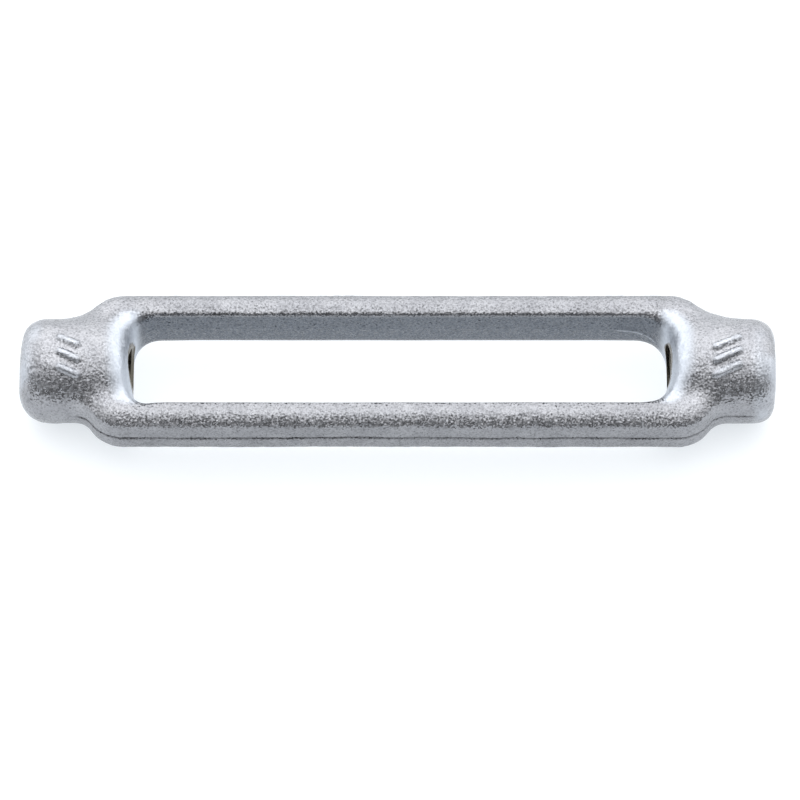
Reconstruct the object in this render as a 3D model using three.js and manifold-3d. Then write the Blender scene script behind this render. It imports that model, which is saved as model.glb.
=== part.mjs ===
// Open turnbuckle body, drop forged in one piece from steel and zinc plated, for M8 end fittings.
// Millimetres. X runs along the thread axis, the window opens along Z, and the origin is the body's centre.
// The -X end has the right-hand thread and the +X end has the left-hand one.

import * as THREE from "three";
import { mergeGeometries, mergeVertices } from "three/addons/utils/BufferGeometryUtils.js";
import Module from "manifold-3d";

const wasm = await Module();
wasm.setup();

// ---------------------------------------------------------------- driving dimensions

const LENGTH = 110;
const HALF_LENGTH = LENGTH / 2;
const BOSS_RADIUS = 7.65;
const BODY_HALF_WIDTH = 11.25;
const BAR_HALF_HEIGHT = 4.3;
const BAR_CROWN_RADIUS = 3.4;
const BAR_SIDE_CUT = 0.52; // how much of the crown's round the side face takes off
const WINDOW_HALF_WIDTH = 7.15;
const RIM_HEIGHT = 7.4; // half height of the body in the middle of a window end
const CORE_BLEND = 1.4; // size of the fillet between a boss and the bars
const FLASH_HEIGHT = 0.15; // what trimming left of the flash on the parting line

// M8 coarse thread
const PITCH = 1.25;
const MAJOR_RADIUS = 4;
const MINOR_RADIUS = 3.323;
const COUNTERSINK_RADIUS = 4.4;
const COUNTERSINK_DEPTH = 1.15;

// How the shoulder runs down from the bars to a boss, seen from above
const SHOULDER_RADIUS = 5.7;
const SHOULDER_ANGLE = THREE.MathUtils.degToRad(47);

// The roll of the edge round a boss's end face
const END_ROUND_RADIAL = 2.3;

// The two ends are forged alike but not exactly the same
const RIGHT_HAND_END = {
  side: -1,
  hand: 1,
  windowEnd: 38.1,
  windowCorner: 3,
  shoulder: 39.8,
  rimRoll: 6,
  bossStart: 46.8,
  endRoundAxial: 3.1,
  faceTilt: THREE.MathUtils.degToRad(4.5),
  mark: { centre: -47.6, ribLength: 3.6, ribPitch: 2.3 },
};
const LEFT_HAND_END = {
  side: 1,
  hand: -1,
  windowEnd: 39.1,
  windowCorner: 3.8,
  shoulder: 40.3,
  rimRoll: 5.4,
  bossStart: 47.4,
  endRoundAxial: 2.2,
  faceTilt: 0,
  mark: { centre: 47.9, ribLength: 4.6, ribPitch: 2.1 },
};
const ENDS = [RIGHT_HAND_END, LEFT_HAND_END];

// The window's wall is upright at the parting line and rolls over at both edges, most in the middle of an end
const EDGE_ROLL = 0.8; // how far it rolls back along the bars
const CORNER_SHARE = 0.45; // how much of the roll in the middle of an end is left at its corners
const ROLL_OVER = 1.03; // the roll ends a little above the surface that it cuts
const ROLL_LEVELS = [0, 0.4, 0.62, 0.76, 0.86, 0.94, 0.985, 1];

// Raised ribs on top of each boss, which lean to the same side as that end's thread
const RIB_COUNT = 3;
const RIB_WIDTH = 0.8;
const RIB_RELIEF = 0.4;
const RIB_DEPTH = 1; // from its top down into the boss
const RIB_LEAN = THREE.MathUtils.degToRad(24);
const MARK_ANGLE = THREE.MathUtils.degToRad(102); // round the boss, from +Y over the top

const ZINC_COLOUR = 0xa9afb3;

// Fineness
const QUADRANT_STEPS = 12;
const QUADRANT_SPREAD = 1.4; // above 1 it gathers the facets at the bars' corners
const SHOULDER_STEPS = 10;
const ROUND_STEPS = 5;
const CORNER_STEPS = 5;
const WALL_STEPS = 6;
const THREAD_SIDES = 16;

// ---------------------------------------------------------------- meshes and solids

function weld(geometry) {
  const bare = geometry.clone();
  bare.deleteAttribute("normal");
  bare.deleteAttribute("uv");
  return mergeVertices(bare, 1e-4);
}

// A closed geometry as a solid. Triangles that a collapsed edge has made empty are dropped.
function solid(geometry) {
  const welded = weld(geometry);
  const corners = welded.index.array;
  const kept = [];
  for (let i = 0; i < corners.length; i += 3) {
    const [a, b, c] = corners.slice(i, i + 3);
    if (a !== b && b !== c && c !== a) {
      kept.push(a, b, c);
    }
  }
  const mesh = new wasm.Mesh({
    numProp: 3,
    vertProperties: new Float32Array(welded.attributes.position.array),
    triVerts: new Uint32Array(kept),
  });
  return new wasm.Manifold(mesh);
}

function geometryOf(body) {
  const mesh = body.getMesh();
  const geometry = new THREE.BufferGeometry();
  geometry.setAttribute("position", new THREE.Float32BufferAttribute(mesh.vertProperties, 3));
  geometry.setIndex(new THREE.Uint32BufferAttribute(mesh.triVerts, 1));
  return geometry;
}

// A closed drum. place(ring, column) gives each point on its rings, and middle(ring) the point that a lid
// closes on.
// Rings are counted from the drum's +Y end, and columns run from +Z towards +X.
function drum(rings, columns, place, middle) {
  const geometry = new THREE.CylinderGeometry(1, 1, 1, columns, rings - 1);
  const position = geometry.attributes.position;
  const point = new THREE.Vector3();
  for (let i = 0; i < position.count; i += 1) {
    point.fromBufferAttribute(position, i);
    const ring = Math.round((0.5 - point.y) * (rings - 1));
    const turn = Math.atan2(point.x, point.z) / (2 * Math.PI);
    const column = (Math.round(turn * columns) + columns) % columns;
    const onLidCentre = Math.hypot(point.x, point.z) < 0.5;
    const moved = onLidCentre ? middle(ring) : place(ring, column);
    position.setXYZ(i, moved.x, moved.y, moved.z);
  }
  return geometry;
}

// ---------------------------------------------------------------- outer envelope

function smoothMax(a, b, blend) {
  const nearness = Math.max(blend - Math.abs(a - b), 0) / blend;
  return Math.max(a, b) + (nearness * nearness * blend) / 4;
}

function smoothStep(value) {
  const t = THREE.MathUtils.clamp(value, 0, 1);
  return t * t * (3 - 2 * t);
}

// 1 in the middle of the body's width, falling softly to 0 at the window's side walls
function crownShare(y) {
  return Math.cos((Math.min(Math.abs(y) / WINDOW_HALF_WIDTH, 1) * Math.PI) / 2) ** 2;
}

// How far a rectangle with round corners reaches from its middle in one direction
function roundedRectangleReach(angle, halfWidth, halfHeight, corner) {
  const across = Math.abs(Math.cos(angle));
  const up = Math.abs(Math.sin(angle));
  const toSide = halfWidth / Math.max(across, 1e-9);
  if (toSide * up <= halfHeight - corner) {
    return toSide;
  }
  const toTop = halfHeight / Math.max(up, 1e-9);
  if (toTop * across <= halfWidth - corner) {
    return toTop;
  }
  const centreAcross = halfWidth - corner;
  const centreUp = halfHeight - corner;
  const along = across * centreAcross + up * centreUp;
  const left = centreAcross ** 2 + centreUp ** 2 - corner ** 2;
  return along + Math.sqrt(Math.max(along * along - left, 0));
}

// How far the crowned section of the bars reaches: a rectangle with large round corners and flat sides
function barReach(angle, halfWidth) {
  const toSide = halfWidth / Math.max(Math.abs(Math.cos(angle)), 1e-9);
  const wide = halfWidth + BAR_SIDE_CUT;
  return Math.min(toSide, roundedRectangleReach(angle, wide, BAR_HALF_HEIGHT, BAR_CROWN_RADIUS));
}

// Half width of the bars and shoulders at a distance past the start of the shoulder
function shoulderHalfWidth(past) {
  const arcLength = SHOULDER_RADIUS * Math.sin(SHOULDER_ANGLE);
  if (past <= 0) {
    return BODY_HALF_WIDTH;
  }
  if (past <= arcLength) {
    return BODY_HALF_WIDTH - SHOULDER_RADIUS + Math.sqrt(SHOULDER_RADIUS ** 2 - past ** 2);
  }
  const arcDrop = SHOULDER_RADIUS * (1 - Math.cos(SHOULDER_ANGLE));
  const halfWidth = BODY_HALF_WIDTH - arcDrop - (past - arcLength) * Math.tan(SHOULDER_ANGLE);
  return Math.max(halfWidth, BAR_HALF_HEIGHT);
}

// Radius of the round core: the boss, which tapers a little to the rim of the window
function coreRadius(end, reach) {
  const rim = end.windowEnd + end.rimRoll / 2;
  return RIM_HEIGHT + (BOSS_RADIUS - RIM_HEIGHT) * smoothStep((reach - rim) / (end.bossStart - rim));
}

// How much of the full section is left where the edge of the end face is rolled over
function endScale(end, reach) {
  const past = THREE.MathUtils.clamp((reach - HALF_LENGTH + end.endRoundAxial) / end.endRoundAxial, 0, 1);
  return 1 - (END_ROUND_RADIAL / BOSS_RADIUS) * (1 - Math.sqrt(1 - past * past));
}

function sectionReach(end, reach, angle) {
  const core = coreRadius(end, reach);
  const halfWidth = shoulderHalfWidth(reach - end.shoulder);
  return smoothMax(core, barReach(angle, halfWidth), CORE_BLEND) * endScale(end, reach);
}

// Distances from the middle of the body at which an end is given a section, the furthest last
function stationsOf(end) {
  const stations = [];
  for (let i = 0; i <= SHOULDER_STEPS; i += 1) {
    stations.push(THREE.MathUtils.lerp(end.shoulder, end.bossStart, i / SHOULDER_STEPS));
  }
  for (let i = 0; i <= ROUND_STEPS; i += 1) {
    const roll = Math.sin(((i / ROUND_STEPS) * Math.PI) / 2);
    stations.push(HALF_LENGTH - end.endRoundAxial * (1 - roll));
  }
  return stations;
}

function columnAngle(column) {
  const quadrant = Math.floor(column / QUADRANT_STEPS);
  const step = (column % QUADRANT_STEPS) / QUADRANT_STEPS;
  const fromSide = quadrant % 2 === 0 ? step : 1 - step;
  const spread = fromSide ** QUADRANT_SPREAD * (Math.PI / 2);
  return quadrant % 2 === 0 ? (quadrant * Math.PI) / 2 + spread : ((quadrant + 1) * Math.PI) / 2 - spread;
}

// 0 where a boss starts and 1 at its end face
function alongBoss(end, reach) {
  return smoothStep((reach - end.bossStart) / (HALF_LENGTH - end.bossStart));
}

// An end face that leans: the section is pushed in on its +Y side, less and less towards the shoulder
function leanIn(end, reach, y) {
  return Math.tan(end.faceTilt) * (y + BOSS_RADIUS - END_ROUND_RADIAL) * alongBoss(end, reach);
}

function makeEnvelope() {
  const sections = ENDS.flatMap((end) => stationsOf(end).map((reach) => ({ end, reach })));
  sections.sort((a, b) => b.end.side * b.reach - a.end.side * a.reach);
  const columns = 4 * QUADRANT_STEPS;
  const place = (ring, column) => {
    const { end, reach } = sections[ring];
    const angle = columnAngle(column);
    const onPartingLine = column % (2 * QUADRANT_STEPS) === 0;
    const flash = onPartingLine ? FLASH_HEIGHT * (1 - alongBoss(end, reach)) : 0;
    const radius = sectionReach(end, reach, angle) + flash;
    const y = radius * Math.cos(angle);
    return { x: end.side * (reach - leanIn(end, reach, y)), y, z: radius * Math.sin(angle) };
  };
  const middle = (ring) => {
    const { end, reach } = sections[ring];
    return { x: end.side * (reach - leanIn(end, reach, 0)), y: 0, z: 0 };
  };
  return solid(drum(sections.length, columns, place, middle));
}

// ---------------------------------------------------------------- window

// The outline of the window seen from above, anticlockwise, as points with their outward directions
function windowOutline() {
  const outline = [];
  for (const end of [LEFT_HAND_END, RIGHT_HAND_END]) {
    const corner = end.windowCorner;
    const centreX = end.windowEnd - corner;
    const centreY = WINDOW_HALF_WIDTH - corner;
    for (const cornerSide of [-1, 1]) {
      for (let i = 0; i <= CORNER_STEPS; i += 1) {
        const turn = (i / CORNER_STEPS) * (Math.PI / 2);
        const angle = cornerSide < 0 ? turn - Math.PI / 2 : turn;
        const outX = Math.cos(angle);
        const outY = Math.sin(angle);
        const x = centreX + corner * outX;
        const y = cornerSide * centreY + corner * outY;
        outline.push({ end, x, y, outX, outY });
      }
      if (cornerSide < 0) {
        for (let i = 1; i < WALL_STEPS; i += 1) {
          const y = THREE.MathUtils.lerp(-centreY, centreY, i / WALL_STEPS);
          outline.push({ end, x: end.windowEnd, y, outX: 1, outY: 0 });
        }
      }
    }
  }
  // The -X end is the +X end's outline turned half round
  for (const point of outline) {
    if (point.end.side < 0) {
      point.x = -point.x;
      point.y = -point.y;
      point.outX = -point.outX;
      point.outY = -point.outY;
    }
  }
  return outline;
}

// Half height of the surface that the window's edge cuts, at a distance from the middle of the body's width
function rimHeight(y) {
  const core = Math.sqrt(Math.max(RIM_HEIGHT ** 2 - y ** 2, 0));
  return smoothMax(core, BAR_HALF_HEIGHT, CORE_BLEND);
}

function makeWindowCutter() {
  const outline = windowOutline();
  const above = 1.5 * BOSS_RADIUS;
  const levels = [...[...ROLL_LEVELS].reverse(), ...ROLL_LEVELS.slice(1).map((level) => -level)];
  const rings = levels.length + 2;
  const place = (ring, column) => {
    const point = outline[column];
    const lid = ring === 0 || ring === rings - 1;
    const level = lid ? (ring === 0 ? 1 : -1) : levels[ring - 1];
    const endRoll = point.end.rimRoll * THREE.MathUtils.lerp(CORNER_SHARE, 1, crownShare(point.y));
    const roll = THREE.MathUtils.lerp(EDGE_ROLL, endRoll, point.outX ** 2);
    const back = roll * (1 - Math.sqrt(1 - level ** 2));
    const z = lid ? level * above : level * ROLL_OVER * rimHeight(point.y);
    return { x: point.x + point.outX * back, y: point.y + point.outY * back, z };
  };
  const middle = (ring) => ({ x: 0, y: 0, z: ring === 0 ? above : -above });
  return solid(drum(rings, outline.length, place, middle));
}

// ---------------------------------------------------------------- threaded bores

// The tap: an ISO profile swept along a helix, between two flat ends of the minor radius
function makeTap(hand, from, to) {
  const rows = [
    { offset: 0, radius: MINOR_RADIUS },
    { offset: 1 / 4, radius: MINOR_RADIUS },
    { offset: 9 / 16, radius: MAJOR_RADIUS },
    { offset: 11 / 16, radius: MAJOR_RADIUS },
  ];
  const turns = Math.ceil((to - from) / PITCH) + 2;
  const rowCount = turns * rows.length;
  const tube = new THREE.PlaneGeometry(1, 1, THREAD_SIDES, rowCount);
  const position = tube.attributes.position;
  for (let i = 0; i < position.count; i += 1) {
    const turn = position.getX(i) + 0.5;
    const row = Math.round((position.getY(i) + 0.5) * rowCount);
    const { offset, radius } = rows[row % rows.length];
    const along = from + PITCH * (Math.floor(row / rows.length) - 1 + offset + hand * turn);
    const inside = along > from && along < to;
    const reach = inside ? radius : MINOR_RADIUS;
    const angle = turn * 2 * Math.PI;
    const x = THREE.MathUtils.clamp(along, from, to);
    position.setXYZ(i, x, reach * Math.cos(angle), reach * Math.sin(angle));
  }
  const lids = [from, to].map((x) => {
    const lid = new THREE.CircleGeometry(MINOR_RADIUS, THREAD_SIDES);
    lid.rotateY(x === to ? Math.PI / 2 : -Math.PI / 2);
    lid.translate(x, 0, 0);
    return lid;
  });
  return solid(mergeGeometries([tube, ...lids]));
}

function makeCountersink(side) {
  const overrun = 1;
  const height = COUNTERSINK_DEPTH + 2 * overrun;
  const slope = (COUNTERSINK_RADIUS - MINOR_RADIUS) / COUNTERSINK_DEPTH;
  const wide = COUNTERSINK_RADIUS + slope * overrun;
  const narrow = MINOR_RADIUS - slope * overrun;
  const cone = new THREE.CylinderGeometry(wide, narrow, height, THREAD_SIDES, 1);
  cone.rotateZ((-side * Math.PI) / 2);
  cone.translate(side * (HALF_LENGTH + overrun - height / 2), 0, 0);
  return solid(cone);
}

function makeBoreCutter(end) {
  const outside = HALF_LENGTH + 2 * PITCH;
  const inside = end.windowEnd - 2 * PITCH;
  const tap = end.side < 0 ? makeTap(end.hand, -outside, -inside) : makeTap(end.hand, inside, outside);
  return tap.add(makeCountersink(end.side));
}

// ---------------------------------------------------------------- raised ribs

function makeRib(end, index) {
  const rib = new THREE.BoxGeometry(end.mark.ribLength, RIB_WIDTH, RIB_DEPTH);
  rib.rotateZ(-end.hand * RIB_LEAN);
  rib.translate(0, 0, BOSS_RADIUS + RIB_RELIEF - RIB_DEPTH / 2);
  const round = ((index - (RIB_COUNT - 1) / 2) * end.mark.ribPitch) / BOSS_RADIUS;
  rib.rotateX(MARK_ANGLE - Math.PI / 2 + round);
  rib.translate(end.mark.centre, 0, 0);
  return solid(rib);
}

// ---------------------------------------------------------------- the body

function makeBody() {
  let body = makeEnvelope();
  for (const end of ENDS) {
    for (let i = 0; i < RIB_COUNT; i += 1) {
      body = body.add(makeRib(end, i));
    }
  }
  body = body.subtract(makeWindowCutter());
  for (const end of ENDS) {
    body = body.subtract(makeBoreCutter(end));
  }
  return geometryOf(body);
}

const zinc = new THREE.MeshStandardMaterial({ color: ZINC_COLOUR, roughness: 0.42, metalness: 1 });
const turnbuckle = new THREE.Group();
const turnbuckleBody = new THREE.Mesh(makeBody(), zinc);
turnbuckleBody.name = "turnbuckle_body";
turnbuckle.add(turnbuckleBody);

export default turnbuckle;
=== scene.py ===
"""A drop-forged, zinc-plated turnbuckle body on a pale table, made as one closed mesh.

The forging is an implicit shape in millimetres: the distance functions are negative inside the metal. It is
meshed on a grid and given its rough skin. Two real threads, one of each hand, are then cut into it.
"""

import math

import bmesh
import bpy
import numpy as np
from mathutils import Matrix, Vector


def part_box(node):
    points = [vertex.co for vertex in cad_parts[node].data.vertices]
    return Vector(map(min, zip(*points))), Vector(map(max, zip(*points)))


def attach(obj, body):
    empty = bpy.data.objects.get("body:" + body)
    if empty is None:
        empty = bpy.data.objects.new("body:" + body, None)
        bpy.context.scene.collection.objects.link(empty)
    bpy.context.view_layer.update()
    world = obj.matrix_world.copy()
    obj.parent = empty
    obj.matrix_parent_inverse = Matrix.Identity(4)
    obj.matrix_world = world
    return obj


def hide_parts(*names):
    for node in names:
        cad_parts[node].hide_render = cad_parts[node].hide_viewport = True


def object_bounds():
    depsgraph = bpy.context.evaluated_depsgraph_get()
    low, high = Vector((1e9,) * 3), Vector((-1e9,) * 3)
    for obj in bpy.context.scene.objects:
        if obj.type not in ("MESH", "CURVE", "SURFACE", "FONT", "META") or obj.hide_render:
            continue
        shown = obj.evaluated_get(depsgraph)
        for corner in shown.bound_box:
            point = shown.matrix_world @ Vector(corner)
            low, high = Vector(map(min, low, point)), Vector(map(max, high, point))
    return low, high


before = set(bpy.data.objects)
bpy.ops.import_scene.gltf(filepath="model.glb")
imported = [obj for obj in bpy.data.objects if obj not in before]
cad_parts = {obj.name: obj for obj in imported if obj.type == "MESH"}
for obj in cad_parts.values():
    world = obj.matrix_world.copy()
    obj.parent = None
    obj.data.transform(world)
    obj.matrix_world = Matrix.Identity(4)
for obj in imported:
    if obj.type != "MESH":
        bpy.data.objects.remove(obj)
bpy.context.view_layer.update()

# ---------------------------------------------------------------- sizes, in millimetres

NODE = "turnbuckle_body"
MM = 0.001
NODE_LOW, NODE_HIGH = (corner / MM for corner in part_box(NODE))

HALF_LENGTH = NODE_HIGH.x
BOSS_RADIUS = -NODE_LOW.z
FLASH_STANDS = 0.15
FLASH_STOPS = (45.0, 50.0)  # how far along the right-hand and the left-hand end it can still be seen
BODY_HALF_WIDTH = NODE_HIGH.y - FLASH_STANDS
BAR_HALF_HEIGHT = 4.3
BAR_CROWN_RADIUS = 3.4
BAR_SIDE_CUT = 0.52  # how much of the crown's round the side face takes off
BAR_EDGE = 0.4
RIM_HEIGHT = 7.4
FACE_PIVOT = BOSS_RADIUS - 2.3  # how far to the front an end face leans about
SHOULDER_RADIUS = 5.7
RIM_STATION = 42.0  # where a boss is RIM_HEIGHT thick
CORE_SLOPE = math.radians(8)
CORE_BLEND = 1.0
DRAFT = math.tan(math.radians(2.5))

WINDOW_HALF_WIDTH = 7.15
WINDOW_EDGE = 0.5
INNER_REACH = 1.9  # the bars' tops fall away over this far from the window
INNER_FALL = 0.22
CORNER_ROLL = 1.9
ROLL_CROWN = 9.0  # how far from the middle of an end wall its roll has faded to the corner's
ROLL_RUN = 3.8  # how far before an end wall its roll begins
WALL_LEAN = math.tan(math.radians(9))  # at the window's two ends
LOWER_SHARE = 0.3  # the lower half of an end wall is rolled and leans this much as far as the upper
SHOULDER_BLEND_BACK = 3.0
SHOULDER_BLEND_FRONT = 1.5

# The sheared wall keeps a thin bright burr inside the back bar, near the left-hand end
BURR_START = (31.0, -0.2)  # x and z
BURR_END = (38.2, -2.3)
BURR_WIDTH = 0.2
BURR_STANDS = 0.2

# M8 coarse thread
PITCH = 1.25
MAJOR_RADIUS = 4.0
MINOR_RADIUS = 3.323
COUNTERSINK_RADIUS = 4.4
COUNTERSINK_DEPTH = 1.15
BORE_STARTS = 34.0  # both bores lie past this, seen from the middle

RIB_COUNT = 3
RIB_WIDTH = 0.95
RIB_CORNER = 0.45 * RIB_WIDTH
RIB_RELIEF = 0.5
RIB_SLOPE = 0.5  # how far its side slopes out
RIB_LEAN = math.radians(24)
RIB_ANGLE = math.radians(102)  # round the boss, from +Y over the top

# Back is +Y and front is -Y
RIGHT_HAND_END = {
    "side": -1,
    "hand": 1,
    "window_end": 38.3,
    "corner_back": 4.0,
    "corner_front": 3.3,
    "wall_roll": 4.2,
    "shoulder_back": 39.75,
    "shoulder_front": 39.7,
    "flank_back": math.radians(52),
    "flank_front": math.radians(55),
    "end_roll_back": 3.6,
    "end_roll_front": 5.6,
    "end_stands": 0.2,
    "face_tilt": math.radians(4.5),
    "rib_centre": 47.6,
    "rib_length": 3.6,
    "rib_pitch": 2.3,
}
LEFT_HAND_END = {
    "side": 1,
    "hand": -1,
    "window_end": 39.3,
    "corner_back": 4.5,
    "corner_front": 4.8,
    "wall_roll": 4.2,
    "shoulder_back": 39.8,
    "shoulder_front": 40.7,
    "flank_back": math.radians(41),
    "flank_front": math.radians(53),
    "end_roll_back": 3.8,
    "end_roll_front": 3.2,
    "end_stands": 0.0,
    "face_tilt": 0.0,
    "rib_centre": 47.9,
    "rib_length": 4.6,
    "rib_pitch": 2.1,
}
ENDS = (RIGHT_HAND_END, LEFT_HAND_END)

# ---------------------------------------------------------------- shaping tools


def smooth_max(a, b, blend):
    near = np.maximum(blend - np.abs(a - b), 0.0)
    return np.maximum(a, b) + near * near / (4.0 * blend)


def smooth_min(a, b, blend):
    return -smooth_max(-a, -b, blend)


def rising(value, start, run):
    """0 up to the start, then smoothly up to 1 over the run."""
    t = np.clip((value - start) / run, 0.0, 1.0)
    return t * t * (3.0 - 2.0 * t)


def falling(value, start, run):
    return 1.0 - rising(value, start, run)


def line_mark(away, width):
    """1 on a line, falling off to nothing at about twice the width away from it."""
    return np.exp(-((away / width) ** 2))


def convex_polygon_distance(x, y, corners):
    """Signed distance to a convex polygon whose corners run anticlockwise."""
    nearest = np.full(np.broadcast(x, y).shape, np.inf)
    outside = np.full_like(nearest, -np.inf)
    for (ax, ay), (bx, by) in zip(corners, corners[1:] + corners[:1]):
        edge_x, edge_y = bx - ax, by - ay
        length = math.hypot(edge_x, edge_y)
        from_x, from_y = x - ax, y - ay
        along = np.clip((from_x * edge_x + from_y * edge_y) / length**2, 0.0, 1.0)
        away = np.hypot(from_x - edge_x * along, from_y - edge_y * along)
        nearest = np.minimum(nearest, away)
        outside = np.maximum(outside, (from_x * edge_y - from_y * edge_x) / length)
    return np.where(outside > 0.0, nearest, -nearest)


def box_distance(across, up, radius):
    """Distance to a quarter of a rectangle with round corners, from how far a point is past its two sides."""
    a, b = across + radius, up + radius
    return np.hypot(np.maximum(a, 0.0), np.maximum(b, 0.0)) + np.minimum(np.maximum(a, b), 0.0) - radius


def lattice_noise(points, cell, seed):
    """Smooth noise from about -1 to 1, with one random value on each corner of a lattice of cubes."""
    rng = np.random.default_rng(seed)
    scaled = points / cell
    low = np.floor(scaled.min(axis=0)) - 1
    shape = (np.floor(scaled.max(axis=0)) - low + 3).astype(int)
    values = rng.uniform(-1.0, 1.0, shape)
    place = scaled - low
    corner = np.floor(place).astype(int)
    t = place - corner
    t = t * t * (3.0 - 2.0 * t)
    total = np.zeros(len(points))
    for dx in (0, 1):
        for dy in (0, 1):
            for dz in (0, 1):
                share = (
                    np.abs(1 - dx - t[:, 0]) * np.abs(1 - dy - t[:, 1]) * np.abs(1 - dz - t[:, 2])
                )
                total += share * values[corner[:, 0] + dx, corner[:, 1] + dy, corner[:, 2] + dz]
    return total


# ---------------------------------------------------------------- the forging as a distance


def plan_corners():
    """The body's plan with its shoulders' radius taken off all round, anticlockwise."""
    half = BODY_HALF_WIDTH - SHOULDER_RADIUS
    corners = []
    for end in (LEFT_HAND_END, RIGHT_HAND_END):
        back, front = end["shoulder_back"], end["shoulder_front"]
        slope_back, slope_front = math.tan(end["flank_back"]), math.tan(end["flank_front"])
        tip = (2 * half + slope_back * back + slope_front * front) / (slope_back + slope_front)
        tip_y = half - slope_back * (tip - back)
        run = [(front, -half), (tip, tip_y), (back, half)]
        if end["side"] < 0:
            run = [(-x, y) for x, y in reversed(run)]
        corners += run
    return corners


PLAN = plan_corners()


def plate_distance(x, y, z):
    plan = convex_polygon_distance(x, y, PLAN) - SHOULDER_RADIUS
    crown = box_distance(plan - BAR_SIDE_CUT, np.abs(z) - BAR_HALF_HEIGHT, BAR_CROWN_RADIUS)
    fall = np.abs(z) - BAR_HALF_HEIGHT + INNER_FALL * (INNER_REACH - window_distance(x, y, z))
    return smooth_max(smooth_max(plan, crown, BAR_EDGE), fall, BAR_EDGE)


def core_distance(x, radius):
    """The two bosses, which taper a little towards the window."""
    past_rim = np.abs(x) - RIM_STATION
    cone = (radius - RIM_HEIGHT - math.tan(CORE_SLOPE) * past_rim) * math.cos(CORE_SLOPE)
    return smooth_max(radius - BOSS_RADIUS, cone, CORE_BLEND)


def window_distance(x, y, z):
    low, high = RIGHT_HAND_END["window_end"], LEFT_HAND_END["window_end"]
    middle, half = (high - low) / 2, (high + low) / 2
    back = np.where(x < middle, RIGHT_HAND_END["corner_back"], LEFT_HAND_END["corner_back"])
    front = np.where(x < middle, RIGHT_HAND_END["corner_front"], LEFT_HAND_END["corner_front"])
    corner = np.where(y > 0, back, front)
    across = np.abs(y) - WINDOW_HALF_WIDTH - DRAFT * np.abs(z)
    lean = WALL_LEAN * np.where(z > 0, z, -LOWER_SHARE * z)
    return box_distance(np.abs(x - middle) - half - lean, across, corner)


def at_window_end(x, reach):
    """0 along the bars, rising to 1 over the last stretch before the window's two end walls."""
    end = np.where(x < 0, RIGHT_HAND_END["window_end"], LEFT_HAND_END["window_end"])
    return rising(np.abs(x), end - reach, reach)


def window_roll(x, y, z):
    """How far the window's edge is rolled over: hardly along the bars, most on top of its end walls."""
    widest = np.where(x < 0, RIGHT_HAND_END["wall_roll"], LEFT_HAND_END["wall_roll"])
    crown = np.cos(np.minimum(np.abs(y) / ROLL_CROWN, 1.0) * math.pi / 2) ** 2
    at_end = CORNER_ROLL + crown * (widest - CORNER_ROLL)
    upper = LOWER_SHARE + (1.0 - LOWER_SHARE) * rising(z, -2.0, 4.0)
    return WINDOW_EDGE + at_window_end(x, ROLL_RUN) * upper * (at_end - WINDOW_EDGE)


def end_face_distance(end, x, y):
    """Distance past the plane of an end face, which may lean in on its +Y side."""
    tilt = end["face_tilt"]
    past = end["side"] * x - HALF_LENGTH - end["end_stands"]
    return past * math.cos(tilt) + (y + FACE_PIVOT) * math.sin(tilt)


def body_distance(x, y, z):
    radius = np.hypot(y, z)
    to_front = falling(y, -5.0, 10.0)
    shoulder_blend = SHOULDER_BLEND_BACK + to_front * (SHOULDER_BLEND_FRONT - SHOULDER_BLEND_BACK)
    body = smooth_min(plate_distance(x, y, z), core_distance(x, radius), shoulder_blend)
    for end in ENDS:
        roll = end["end_roll_back"] + to_front * (end["end_roll_front"] - end["end_roll_back"])
        body = smooth_max(body, end_face_distance(end, x, y), roll)
    return smooth_max(body, -window_distance(x, y, z), window_roll(x, y, z))


# ---------------------------------------------------------------- from the distance to a mesh

# The grid's spacing, and the angle over which an edge is shaded sharp
FINE = 0.245
COARSE = 0.34
SHARP_EDGE = math.radians(38)


def graded(stops):
    """Grid lines through the stops. A stop is a place, and how far apart the lines are up to the next."""
    lines = []
    for (start, step), (end, _) in zip(stops, stops[1:]):
        count = max(1, round((end - start) / step))
        lines.append(np.linspace(start, end, count, endpoint=False))
    lines.append(np.array([stops[-1][0]]))
    return np.concatenate(lines)


def surface_net(lines, values):
    """One vertex in each cell that the surface crosses, and one quad over each grid edge that it crosses."""
    inside = values < 0
    shape = np.array(values.shape) - 1
    total = np.zeros((*shape, 3))
    count = np.zeros(shape, int)
    quads = []
    number = np.arange(values.size).reshape(values.shape)
    for axis in range(3):
        start = [slice(None)] * 3
        stop = [slice(None)] * 3
        start[axis], stop[axis] = slice(None, -1), slice(1, None)
        f0, f1 = values[tuple(start)], values[tuple(stop)]
        crossed = np.argwhere((f0 < 0) != (f1 < 0))
        a, b = f0[tuple(crossed.T)], f1[tuple(crossed.T)]
        share = a / (a - b)
        point = np.stack([lines[k][crossed[:, k]] for k in range(3)], axis=1)
        step = lines[axis][crossed[:, axis] + 1] - lines[axis][crossed[:, axis]]
        point[:, axis] += share * step
        u, v = (axis + 1) % 3, (axis + 2) % 3
        ring = []
        for du, dv in ((0, 0), (-1, 0), (-1, -1), (0, -1)):
            cell = crossed.copy()
            cell[:, u] += du
            cell[:, v] += dv
            np.add.at(total, tuple(cell.T), point)
            np.add.at(count, tuple(cell.T), 1)
            ring.append(number[tuple(cell.T)])
        ring = np.stack(ring, axis=1)
        quads.append(np.where(inside[tuple(crossed.T)][:, None], ring, ring[:, ::-1]))
    used = np.argwhere(count > 0)
    vertices = total[tuple(used.T)] / count[tuple(used.T)][:, None]
    order = np.full(values.size, -1)
    order[number[tuple(used.T)]] = np.arange(len(used))
    return vertices, order[np.concatenate(quads)]


def gradient(points):
    reach = 0.02
    slopes = []
    for axis in range(3):
        shift = np.zeros(3)
        shift[axis] = reach
        ahead, behind = points + shift, points - shift
        slopes.append((body_distance(*ahead.T) - body_distance(*behind.T)) / (2 * reach))
    return np.stack(slopes, axis=1)


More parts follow.
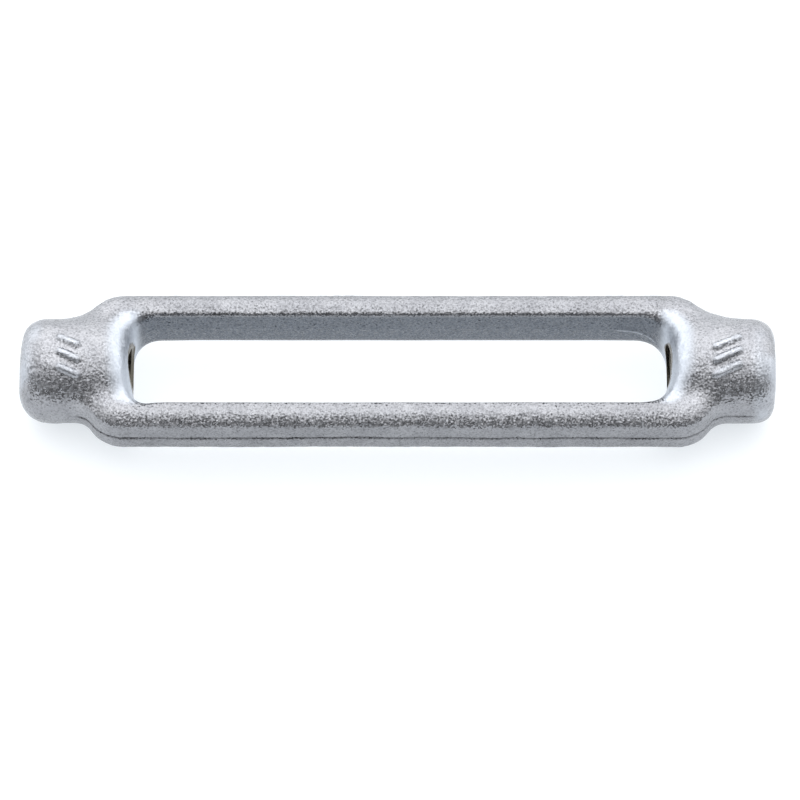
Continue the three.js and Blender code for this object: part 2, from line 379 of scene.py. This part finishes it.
def onto_surface(points, rounds):
    for _ in range(rounds):
        slope = gradient(points)
        steep = np.maximum((slope * slope).sum(axis=1), 0.25)
        points = points - slope * (body_distance(*points.T) / steep)[:, None]
    return points


def relaxed(points, quads, rounds):
    """Evens out the spacing of the vertices, sliding them along the surface only."""
    starts = quads.reshape(-1)
    ends = np.roll(quads, -1, axis=1).reshape(-1)
    both_from, both_to = np.concatenate([starts, ends]), np.concatenate([ends, starts])
    weight = np.bincount(both_from, minlength=len(points))
    for _ in range(rounds):
        mean = np.stack(
            [np.bincount(both_from, points[both_to, k], len(points)) / weight for k in range(3)], axis=1
        )
        slope = gradient(points)
        normal = slope / np.maximum(np.linalg.norm(slope, axis=1), 1e-6)[:, None]
        move = mean - points
        move -= normal * (move * normal).sum(axis=1)[:, None]
        points = onto_surface(points + 0.5 * move, rounds=1)
    return points


# ---------------------------------------------------------------- forged and blasted skin

# Layers of noise: how high, how wide and which seed
WAVES = ((0.05, 9.0, 1), (0.03, 3.6, 2))
BUMPS = ((0.022, 1.5, 3), (0.022, 0.75, 4))
PARTING_WANDER = ((0.12, 7.0, 11), (0.07, 1.6, 12))
BURR_WANDER = ((0.1, 1.2, 21),)

HOLLOW_CELL = 1.1
HOLLOW_DEPTH = 0.10
HOLLOW_LIMIT = 0.62  # noise over this makes a hollow

# A tight lap on the parting line, a low ridge under it and a flat over it: how far over the line, how wide,
# how high
FLASH_PROFILE = ((0.0, 0.16, -0.12), (-0.38, 0.2, 0.09), (0.5, 0.35, 0.05))

# The sheared wall has these shares of the bumps and the waves
WALL_ROUGH = 0.15
WALL_WAVY = 0.4


def layered_noise(points, layers):
    return sum(height * lattice_noise(points, cell, seed) for height, cell, seed in layers)


def rib_relief(end, points):
    """The three raised, leaning ribs on top of a boss."""
    x, y, z = points.T
    along = x - end["side"] * end["rib_centre"]
    around = (RIB_ANGLE - np.arctan2(z, y)) * BOSS_RADIUS
    lean = end["hand"] * RIB_LEAN
    relief = np.zeros(len(points))
    for index in range(RIB_COUNT):
        across = around + (index - (RIB_COUNT - 1) / 2) * end["rib_pitch"]
        long_way = np.abs(along * math.cos(lean) - across * math.sin(lean)) - end["rib_length"] / 2
        short_way = np.abs(along * math.sin(lean) + across * math.cos(lean)) - RIB_WIDTH / 2
        outline = box_distance(long_way, short_way, RIB_CORNER)
        relief = np.maximum(relief, RIB_RELIEF * falling(outline, -RIB_SLOPE / 2, RIB_SLOPE))
    return relief


def flash_place(points):
    """How far a point is over the wandering parting line, and how strong the trimmed flash is there."""
    x, y, z = points.T
    along = np.stack([x, 0 * x, np.sign(y)], axis=1)
    wander = layered_noise(along, PARTING_WANDER)
    strength = 0.85 + 0.3 * lattice_noise(along, 3.2, 13)
    outside = rising(np.abs(y), 4.5, 1.5) * rising(window_distance(x, y, z), 1.5, 1.0)
    trimmed = falling(np.abs(x), np.where(x < 0, *FLASH_STOPS), 3.0)
    return z - wander, strength * outside * trimmed


def flash_line(points):
    """How far the trimmed flash round the outside stands off."""
    over, strength = flash_place(points)
    return strength * sum(height * line_mark(over - level, width) for level, width, height in FLASH_PROFILE)


def burr_line(points):
    """How strongly a point lies on the burr inside the window, from 0 to 1."""
    x, y, z = points.T
    share = (x - BURR_START[0]) / (BURR_END[0] - BURR_START[0])
    level = BURR_START[1] + (BURR_END[1] - BURR_START[1]) * share**2
    near = line_mark(z - level - layered_noise(points, BURR_WANDER), BURR_WIDTH)
    run = rising(share, 0.0, 0.3) * falling(share, 0.9, 0.1)
    return near * run * (y > 0) * (window_distance(x, y, z) < 0.6)


def skin_relief(points):
    """How far the real skin stands off the smooth form."""
    x, y, z = points.T
    past_wall = rising(window_distance(x, y, z), 0.1, 0.5)
    waves = layered_noise(points, WAVES)
    bumps = layered_noise(points, BUMPS)
    sunk = np.maximum(lattice_noise(points, HOLLOW_CELL, 5) - HOLLOW_LIMIT, 0.0) / (1.0 - HOLLOW_LIMIT)
    rough = (bumps - HOLLOW_DEPTH * sunk) * (WALL_ROUGH + (1.0 - WALL_ROUGH) * past_wall)
    relief = waves * (WALL_WAVY + (1.0 - WALL_WAVY) * past_wall) + rough + flash_line(points)
    for end in ENDS:
        relief += rib_relief(end, points)
    return relief + BURR_STANDS * burr_line(points)


def forging_mesh():
    """The skinned forging's vertices and quads, finest on the parting line and coarsest along the bars."""
    margin = 0.9
    x_stop, y_stop, z_stop = HALF_LENGTH + margin, BODY_HALF_WIDTH + margin, BOSS_RADIUS + margin
    bars_end, seam_band = 40.0, 0.7
    usual, finest = FINE * 1.1, FINE * 0.6
    lines = [
        graded([(-x_stop, FINE), (-bars_end, COARSE), (bars_end, FINE), (x_stop, FINE)]),
        graded([(-y_stop, usual), (y_stop, FINE)]),
        graded([(-z_stop, usual), (-seam_band, finest), (seam_band, usual), (z_stop, FINE)]),
    ]
    x, y, z = np.meshgrid(*lines, indexing="ij", sparse=True)
    points, quads = surface_net(lines, body_distance(x, y, z))
    points = relaxed(onto_surface(points, rounds=3), quads, rounds=4)
    slope = gradient(points)
    normal = slope / np.linalg.norm(slope, axis=1)[:, None]
    return points + normal * skin_relief(points)[:, None], quads


def new_object(name, points, faces):
    mesh = bpy.data.meshes.new(name)
    corners = [[int(corner) for corner in face] for face in faces]
    mesh.from_pydata((np.asarray(points) * MM).tolist(), [], corners)
    mesh.validate()
    made = bpy.data.objects.new(name, mesh)
    bpy.context.scene.collection.objects.link(made)
    return made


# ---------------------------------------------------------------- threads

THREAD_SIDES = 64
# Places along one pitch, as shares of it, and how far out the tap reaches there: 0 minor, 1 major
THREAD_ROWS = ((0.0, 0.0), (0.25, 0.0), (0.55, 0.93), (0.5875, 1.0), (0.6625, 1.0), (0.7, 0.93))


def turned_tool(name, rings):
    """A closed tool round X from rings, each an x and a radius, the lowest x first."""
    angle = np.arange(THREAD_SIDES) * (2 * math.pi / THREAD_SIDES)
    points = []
    for x, radius in rings:
        points.append(np.stack([x + 0 * angle, radius * np.cos(angle), radius * np.sin(angle)], axis=1))
    points = np.concatenate(points)
    faces = []
    for ring in range(len(rings) - 1):
        for side in range(THREAD_SIDES):
            after = (side + 1) % THREAD_SIDES
            low, high = ring * THREAD_SIDES, (ring + 1) * THREAD_SIDES
            faces.append((low + side, low + after, high + after, high + side))
    faces.append(tuple(reversed(range(THREAD_SIDES))))
    last = (len(rings) - 1) * THREAD_SIDES
    faces.append(tuple(range(last, last + THREAD_SIDES)))
    return points, faces


def tap_surface(hand, low, high):
    """The tap's helical skin, cut square at both ends, where vertices that fall together are merged later."""
    turns = math.ceil((high - low) / PITCH) + 2
    angle = np.arange(THREAD_SIDES + 1) * (2 * math.pi / THREAD_SIDES)
    points = []
    for turn in range(turns):
        for share, out in THREAD_ROWS:
            along = low + PITCH * (turn - 1 + share + hand * angle / (2 * math.pi))
            inside = (along > low) & (along < high)
            radius = np.where(inside, MINOR_RADIUS + out * (MAJOR_RADIUS - MINOR_RADIUS), MINOR_RADIUS)
            x = np.clip(along, low, high)
            points.append(np.stack([x, radius * np.cos(angle), radius * np.sin(angle)], axis=1))
    rows = len(points)
    points = np.concatenate(points)
    width = THREAD_SIDES + 1
    faces = []
    for row in range(rows - 1):
        for side in range(THREAD_SIDES):
            a = row * width + side
            faces.append((a, a + 1, a + width + 1, a + width))
    return points, faces


def make_tap(end):
    before, over = 2.5 * PITCH, 1.5
    inside, outside = end["window_end"] - before, HALF_LENGTH + over
    low, high = sorted((end["side"] * inside, end["side"] * outside))
    points, faces = tap_surface(end["hand"], low, high)
    tap = new_object("tap", points, faces)
    shape = bmesh.new()
    shape.from_mesh(tap.data)
    bmesh.ops.remove_doubles(shape, verts=shape.verts, dist=1e-3 * MM)
    rims = [edge for edge in shape.edges if edge.is_boundary]
    bmesh.ops.holes_fill(shape, edges=rims, sides=0)
    bmesh.ops.recalc_face_normals(shape, faces=shape.faces)
    shape.to_mesh(tap.data)
    shape.free()
    return tap


def make_countersink(end):
    slope = (COUNTERSINK_RADIUS - MINOR_RADIUS) / COUNTERSINK_DEPTH
    over = 1.0
    rings = [
        (HALF_LENGTH - COUNTERSINK_DEPTH - over, MINOR_RADIUS - slope * over),
        (HALF_LENGTH + over, COUNTERSINK_RADIUS + slope * over),
    ]
    if end["side"] < 0:
        rings = [(-x, radius) for x, radius in reversed(rings)]
    points, faces = turned_tool("countersink", rings)
    return new_object("countersink", points, faces)


def cut(body, tool):
    change = body.modifiers.new("cut", "BOOLEAN")
    change.operation = "DIFFERENCE"
    change.solver = "MANIFOLD"
    change.object = tool
    graph = bpy.context.evaluated_depsgraph_get()
    result = bpy.data.meshes.new_from_object(body.evaluated_get(graph))
    body.modifiers.clear()
    body.data = result
    bpy.data.objects.remove(tool)


def set_attribute(mesh, name, values):
    attribute = mesh.attributes.new(name, "FLOAT", "POINT")
    attribute.data.foreach_set("value", np.asarray(values, dtype=np.float32))


def mark_regions(mesh):
    """Tells the material where the sheared wall and its painted shade, the burnished skin and its painted
    highlight, the bars and their painted shade, the parting line's painted shade and the bores are.
    """
    points = np.empty(len(mesh.vertices) * 3)
    mesh.vertices.foreach_get("co", points)
    points = points.reshape(-1, 3) / MM
    x, y, z = points.T
    # The bores, as wide as their countersinks at the outer ends only
    at_mouth = np.abs(x) > HALF_LENGTH - COUNTERSINK_DEPTH - 0.1
    bore_radius = np.where(at_mouth, COUNTERSINK_RADIUS, MAJOR_RADIUS) + 0.02
    in_bore = (np.hypot(y, z) < bore_radius) & (np.abs(x) > BORE_STARTS)
    skin = np.where(in_bore, 0.0, 1.0)
    # The upright middle of the window's sides is the sheared wall, painted dark as painted shade, and its end
    # walls are rubbed and painted bright, partly burnish and partly painted highlight
    past_wall = window_distance(x, y, z)
    ends = at_window_end(x, 1.6) * falling(np.abs(y), 6.8, 1.6)
    upright = falling(np.abs(z), 2.9, 0.6)
    wall_and_painted_shade = (1.0 - ends) * upright * falling(past_wall, 0.15, 0.35)
    rubbed_and_highlit = ends * falling(past_wall, 1.0, 2.4)
    # The outer ends are worn in patches, which are also painted bright as a painted highlight
    worn_and_highlit = 0.5 * rising(np.abs(x), 51.0, 2.0) * rising(lattice_noise(points, 3.0, 31), -0.5, 1.0)
    burr = burr_line(points)
    ribs = sum(rib_relief(end, points) for end in ENDS) / RIB_RELIEF
    over, strength = flash_place(points)
    # Painted shade: the window's sheared side walls are painted dark
    set_attribute(mesh, "wall_and_painted_shade", skin * wall_and_painted_shade * (1.0 - burr))
    # Partly real burnish and wear, partly painted highlight: the end walls, worn ends, ribs and burr are
    # painted lighter
    set_attribute(mesh, "burnish_and_highlight", skin * np.max([rubbed_and_highlit, worn_and_highlit, 0.35 * ribs, burr], axis=0))
    set_attribute(mesh, "bars", falling(np.abs(x), 38.0, 5.0))
    # Painted shade: a dark line painted along the parting line's lap
    set_attribute(mesh, "seam_shade", skin * strength * line_mark(over, 0.19))
    set_attribute(mesh, "bore", in_bore)


def make_body():
    points, quads = forging_mesh()
    body = new_object("forged_body", points, quads)
    for end in ENDS:
        cut(body, make_tap(end))
        cut(body, make_countersink(end))
    mesh = body.data
    mark_regions(mesh)
    mesh.shade_smooth()
    mesh.set_sharp_from_angle(angle=SHARP_EDGE)
    return body


# ---------------------------------------------------------------- look


class Nodes:
    """A short way to write a node tree: each call adds a node and returns the output that is named."""

    def __init__(self, tree):
        self.tree = tree

    def add(self, kind, output=0, settings=None, **inputs):
        made = self.tree.nodes.new(kind)
        for name, value in (settings or {}).items():
            setattr(made, name, value)
        for name, value in inputs.items():
            self.feed(made, name.replace("_", " "), value)
        return made.outputs[output]

    def feed(self, made, name, value):
        socket = made.inputs[int(name)] if name.isdigit() else made.inputs[name]
        if isinstance(value, bpy.types.NodeSocket):
            self.tree.links.new(value, socket)
        else:
            socket.default_value = value

    def math(self, operation, *values, clamp=False):
        made = self.tree.nodes.new("ShaderNodeMath")
        made.operation = operation
        made.use_clamp = clamp
        for index, value in enumerate(values):
            self.feed(made, str(index), value)
        return made.outputs[0]

    def vector(self, operation, first, second=None):
        made = self.tree.nodes.new("ShaderNodeVectorMath")
        made.operation = operation
        self.feed(made, "0", first)
        if operation == "SCALE":
            self.feed(made, "Scale", second)
        elif second is not None:
            self.feed(made, "1", second)
        return made.outputs[0]

    def span(self, value, low, high, to_low=0.0, to_high=1.0):
        """The value's place from low to high, smoothly, as a number from to_low to to_high."""
        made = self.tree.nodes.new("ShaderNodeMapRange")
        made.interpolation_type = "SMOOTHSTEP"
        for index, amount in enumerate((value, low, high, to_low, to_high)):
            self.feed(made, str(index), amount)
        return made.outputs[0]

    def mix(self, share, first, second, blend="MIX"):
        made = self.tree.nodes.new("ShaderNodeMix")
        made.data_type = "RGBA"
        made.blend_type = blend
        for socket, value in ((0, share), (6, first), (7, second)):
            self.feed(made, str(socket), value)
        return made.outputs[2]

    def ramp(self, share, stops):
        made = self.tree.nodes.new("ShaderNodeValToRGB")
        made.color_ramp.interpolation = "LINEAR"
        elements = made.color_ramp.elements
        while len(elements) < len(stops):
            elements.new(1.0)
        for element, (place, colour) in zip(elements, stops):
            element.position = place
            element.color = colour
        self.feed(made, "0", share)
        return made.outputs[0]


# Colours, and how much darker the bars and the pits in the grain are painted, as painted shade
ZINC_DARK = (0.31, 0.315, 0.335, 1.0)
ZINC_LIGHT = (0.365, 0.37, 0.39, 1.0)
# Burnished zinc, painted light as a painted highlight on top of the real burnish
BURNISHED_HIGHLIGHT = (0.58, 0.62, 0.68, 1.0)
# Painted shade: the window's sheared side walls are painted dark where they would reflect the shaded window
SHEARED_WALL_SHADE = (0.16, 0.175, 0.2, 1.0)
# Painted shade in the lap on the parting line
FLASH_LAP_SHADE = (0.06, 0.06, 0.065, 1.0)
CUT_THREAD = (0.13, 0.118, 0.095, 1.0)
# Painted shade on the bars
BAR_SHADE = 0.88
# Painted shade in the pits of the grain
PIT_SHADE = 0.76

SATIN = (0.20, 0.34)  # roughness
BURNISHED_ROUGHER = 0.2

# The grain, and what is left of it on the sheared wall and on burnished skin
DIMPLES_PER_METRE = 2300.0
DIMPLE_SHARE = 0.6
TEETH_PER_METRE = 3000.0
FACETS_PER_METRE = 3400.0
GRAIN_DEPTH = 0.00007  # metres
BOSS_FACET_TIP = 1.05
BAR_FACET_TIP = 1.7
WALL_GRAIN = 0.85
BURNISHED_GRAIN = 0.25


def make_zinc():
    material = bpy.data.materials.new("zinc_plated_steel")
    material.use_nodes = True
    shader = material.node_tree.nodes["Principled BSDF"]
    nodes = Nodes(material.node_tree)
    place = nodes.add("ShaderNodeTexCoord", "Object")

    def region(name):
        return nodes.add("ShaderNodeAttribute", "Fac", {"attribute_name": name})

    def noise(per_metre, detail=2.0):
        return nodes.add("ShaderNodeTexNoise", "Fac", Vector=place, Scale=per_metre, Detail=detail)

    def darker(colour, share):
        return nodes.mix(1.0, colour, (share, share, share, 1.0), "MULTIPLY")

    def where(mask, outside, inside):
        return nodes.span(mask, 0.0, 1.0, outside, inside)

    wall_and_painted_shade, burnish_and_highlight, seam_shade, bore, bars = (region(name) for name in ("wall_and_painted_shade", "burnish_and_highlight", "seam_shade", "bore", "bars"))

    # Shot-blasted grain: peened dimples about 0.4 mm wide with a finer tooth on them, as a bump
    cells = {"Scale": DIMPLES_PER_METRE, "Smoothness": 0.5}
    dimples = nodes.add("ShaderNodeTexVoronoi", "Distance", {"feature": "SMOOTH_F1"}, Vector=place, **cells)
    tooth = noise(TEETH_PER_METRE, 1.0)
    grain = nodes.math("ADD", nodes.math("MULTIPLY", dimples, DIMPLE_SHARE), tooth)
    blasted = nodes.math("MULTIPLY", where(wall_and_painted_shade, 1.0, WALL_GRAIN), where(burnish_and_highlight, 1.0, BURNISHED_GRAIN))
    rough_skin = nodes.math("MULTIPLY", blasted, where(bore, 1.0, 0.0))
    height = nodes.math("MULTIPLY", grain, rough_skin)
    bump = nodes.add("ShaderNodeBump", "Normal", Height=height, Distance=GRAIN_DEPTH)

    # Its tiny facets, too small for the bump: noise tips the normal, further on the bars than on the bosses
    tips = nodes.add("ShaderNodeTexNoise", "Color", Vector=place, Scale=FACETS_PER_METRE, Detail=1.0)
    turned = nodes.vector("SUBTRACT", tips, (0.5, 0.5, 0.5))
    amount = nodes.math("MULTIPLY", rough_skin, where(bars, BOSS_FACET_TIP, BAR_FACET_TIP))
    tipped = nodes.vector("ADD", bump, nodes.vector("SCALE", turned, amount))
    normal = nodes.vector("NORMALIZE", tipped)

    # Colour: cool zinc, with painted shade in the pits of the grain, on the bars, on the window's sides and
    # on the parting line, painted highlight on burnished skin, and dark in the threads
    blotches = nodes.span(noise(300.0, 3.0), 0.35, 0.7)
    zinc = nodes.mix(blotches, ZINC_DARK, ZINC_LIGHT)
    # Painted shade: the bars are painted darker than the bosses
    bars_shaded = nodes.mix(bars, zinc, darker(zinc, BAR_SHADE))
    # Partly burnish, partly painted highlight on the window's end walls, worn ends, ribs and burr
    rim_highlight = nodes.mix(burnish_and_highlight, bars_shaded, BURNISHED_HIGHLIGHT)
    # Painted shade along the parting line
    seam_shaded = nodes.mix(seam_shade, rim_highlight, FLASH_LAP_SHADE)
    # Painted shade: the window's sheared side walls are painted dark
    shaded = nodes.mix(wall_and_painted_shade, seam_shaded, SHEARED_WALL_SHADE)
    # Painted shade in the pits of the grain
    pit_shade_share = nodes.math("MULTIPLY", nodes.span(grain, 0.85, 0.55), rough_skin)
    pit_shaded = nodes.mix(pit_shade_share, shaded, darker(shaded, PIT_SHADE))
    colour = nodes.mix(bore, pit_shaded, CUT_THREAD)
    satin = nodes.span(noise(1200.0), 0.3, 0.7, *SATIN)
    roughness = nodes.math("ADD", satin, nodes.math("MULTIPLY", burnish_and_highlight, BURNISHED_ROUGHER))

    tree = material.node_tree
    tree.links.new(colour, shader.inputs["Base Color"])
    tree.links.new(roughness, shader.inputs["Roughness"])
    tree.links.new(normal, shader.inputs["Normal"])
    shader.inputs["Metallic"].default_value = 1.0
    return material


body = make_body()
body.data.materials.clear()
body.data.materials.append(make_zinc())
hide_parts(NODE)
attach(body, "root")

# ---------------------------------------------------------------- stage


def make_floor():
    mesh = bpy.data.meshes.new("floor")
    half = 2.0
    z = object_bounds()[0][2]
    corners = [(-half, -half, z), (half, -half, z), (half, half, z), (-half, half, z)]
    mesh.from_pydata(corners, [], [(0, 1, 2, 3)])
    floor = bpy.data.objects.new("floor", mesh)
    bpy.context.scene.collection.objects.link(floor)
    material = bpy.data.materials.new("pale_floor")
    material.use_nodes = True
    shader = material.node_tree.nodes["Principled BSDF"]
    shader.inputs["Base Color"].default_value = (0.42, 0.42, 0.42, 1.0)
    shader.inputs["Roughness"].default_value = 0.7
    shader.inputs["Emission Color"].default_value = (0.905, 0.955, 1.0, 1.0)
    shader.inputs["Emission Strength"].default_value = 0.67
    mesh.materials.append(material)


# The light tent over the table: an angle from the front (0) over the top (90) to the back (180), how bright
# it is there in the object's middle plane, and how bright off to its two sides
TENT = (
    (0, 0.4, 0.35),
    (10, 0.16, 0.2),
    (20, 0.13, 0.18),
    (34, 0.38, 0.38),
    (46, 0.84, 0.74),
    (58, 1.15, 0.95),
    (72, 1.7, 1.2),
    (84, 2.0, 1.4),
    (108, 2.8, 1.5),
    (128, 2.8, 1.8),
    (150, 2.2, 2.2),
    (180, 1.9, 2.1),
)
TENT_TINT = (0.985, 0.99, 1.0, 1.0)


def make_lights():
    world = bpy.data.worlds.new("light_tent")
    bpy.context.scene.world = world
    world.use_nodes = True
    nodes = Nodes(world.node_tree)
    direction = nodes.add("ShaderNodeTexCoord", "Generated")
    split = world.node_tree.nodes.new("ShaderNodeSeparateXYZ")
    world.node_tree.links.new(direction, split.inputs[0])
    x, y, z = split.outputs
    over = nodes.math("ARCTAN2", z, nodes.math("MULTIPLY", y, -1.0))
    share = nodes.math("DIVIDE", over, math.pi, clamp=True)
    brightest = max(max(row[1:]) for row in TENT)

    def arch(column):
        stops = []
        for row in TENT:
            grey = row[column] / brightest
            stops.append((row[0] / 180, (grey, grey, grey, 1.0)))
        return nodes.ramp(share, stops)

    middle, sides = arch(1), arch(2)
    light = nodes.mix(nodes.span(nodes.math("ABSOLUTE", x), 0.1, 0.6), middle, sides)
    background = world.node_tree.nodes["Background"]
    world.node_tree.links.new(nodes.mix(1.0, light, TENT_TINT, "MULTIPLY"), background.inputs["Color"])
    background.inputs["Strength"].default_value = brightest


def make_camera():
    elevation = math.radians(60)
    distance = 1.0
    view_width = 0.1166
    aim_right, aim_up = 0.00047, -0.0042
    data = bpy.data.cameras.new("camera")
    data.sensor_width = 36
    data.lens = data.sensor_width * distance / view_width
    camera = bpy.data.objects.new("camera", data)
    up = Vector((0, math.sin(elevation), math.cos(elevation)))
    back = Vector((0, -math.cos(elevation), math.sin(elevation)))
    camera.location = Vector((aim_right, 0, 0)) + up * aim_up + back * distance
    camera.rotation_euler = (math.pi / 2 - elevation, 0, 0)
    bpy.context.scene.collection.objects.link(camera)
    bpy.context.scene.camera = camera


make_floor()
make_lights()
make_camera()
bpy.context.scene.view_settings.view_transform = "Standard"
